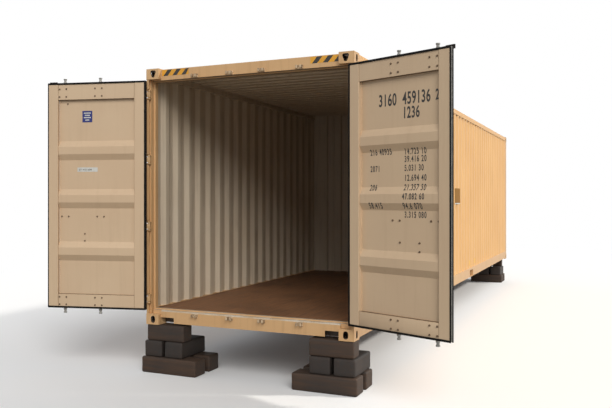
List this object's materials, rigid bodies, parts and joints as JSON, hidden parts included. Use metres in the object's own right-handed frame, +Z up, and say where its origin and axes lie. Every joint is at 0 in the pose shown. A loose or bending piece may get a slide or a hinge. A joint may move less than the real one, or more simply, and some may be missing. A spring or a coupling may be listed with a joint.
{
  "type": "shipping container",
  "caption": "High cube shipping container with its doors open: corrugated walls and roof, lock rods, hollow corner castings, plywood floor and timber packing under its corners",
  "frame": {"origin": "on the ground under the middle of the whole part, open doors included, on the container's centre plane", "axes": "+X out of the doors along the container's length, +Y to the right for someone facing the doors, +Z up"},
  "size_m": [12.7746, 4.6173, 3.436],
  "materials": {
    "frame_paint": "worn paint on steel",
    "wall_paint": "worn paint on steel",
    "door_paint": "worn paint on steel",
    "plate_paint": "matt brown",
    "galvanised_steel": "dull zinc",
    "seal_rubber": "matt black",
    "plywood": "worn plywood",
    "packing_timber": "weathered timber"
  },
  "bodies": {
    "container": {"blind_end_header": "frame_paint", "blind_end_sill": "frame_paint", "bottom_corner_castings": "frame_paint", "bulkhead": "wall_paint", "cam_keepers": "frame_paint", "cross_members": "frame_paint", "door_header": "frame_paint", "door_sill": "frame_paint", "end_wall": "wall_paint", "floor_deck": "plywood", "fork_pockets": "frame_paint", "hinge_lugs": "frame_paint", "hinge_pins": "galvanised_steel", "left_blind_post": "frame_paint", "left_bottom_side_rail": "frame_paint", "left_door_post": "frame_paint", "left_side_wall": "wall_paint", "left_top_side_rail": "frame_paint", "right_blind_post": "frame_paint", "right_bottom_side_rail": "frame_paint", "right_door_post": "frame_paint", "right_side_wall": "wall_paint", "right_top_side_rail": "frame_paint", "roof_sheet": "wall_paint", "side_plate": "plate_paint", "timber_bottom_course": "packing_timber", "timber_middle_course": "packing_timber", "timber_top_course": "packing_timber", "top_corner_castings": "frame_paint"},
    "right_door": {"right_door_stiles": "door_paint", "right_door_rails": "door_paint", "right_door_panel": "door_paint", "right_door_gasket": "seal_rubber", "right_hinge_blades": "frame_paint", "right_rod_brackets": "galvanised_steel", "right_handle_catches": "galvanised_steel"},
    "right_inner_rod": {"right_inner_lock_rod": "galvanised_steel"},
    "right_outer_rod": {"right_outer_lock_rod": "galvanised_steel"},
    "left_door": {"left_door_stiles": "door_paint", "left_door_rails": "door_paint", "left_door_panel": "door_paint", "left_door_gasket": "seal_rubber", "left_hinge_blades": "frame_paint", "left_rod_brackets": "galvanised_steel", "left_handle_catches": "galvanised_steel"},
    "left_inner_rod": {"left_inner_lock_rod": "galvanised_steel"},
    "left_outer_rod": {"left_outer_lock_rod": "galvanised_steel"}
  },
  "joints": [
    {"name": "right_door_hinge", "type": "hinge", "parent": "container", "child": "right_door", "pos_m": [5.82068, 1.197, 0.825], "axis": [0, 0, 1], "range_deg": [-156, 109]},
    {"name": "left_door_hinge", "type": "hinge", "parent": "container", "child": "left_door", "pos_m": [5.82068, -1.197, 0.825], "axis": [0, 0, -1], "range_deg": [-164, 101]},
    {"name": "right_inner_rod_turn", "type": "hinge", "parent": "right_door", "child": "right_inner_rod", "pos_m": [6.2394, 2.11287, 0.803], "axis": [0, 0, 1], "range_deg": [-90, 0]},
    {"name": "right_outer_rod_turn", "type": "hinge", "parent": "right_door", "child": "right_outer_rod", "pos_m": [6.0645, 1.72005, 0.803], "axis": [0, 0, 1], "range_deg": [-90, 0]},
    {"name": "left_inner_rod_turn", "type": "hinge", "parent": "left_door", "child": "left_inner_rod", "pos_m": [6.10786, -2.16223, 0.803], "axis": [0, 0, -1], "range_deg": [-90, 0]},
    {"name": "left_outer_rod_turn", "type": "hinge", "parent": "left_door", "child": "left_outer_rod", "pos_m": [5.98933, -1.74889, 0.803], "axis": [0, 0, -1], "range_deg": [-90, 0]}
  ]
}
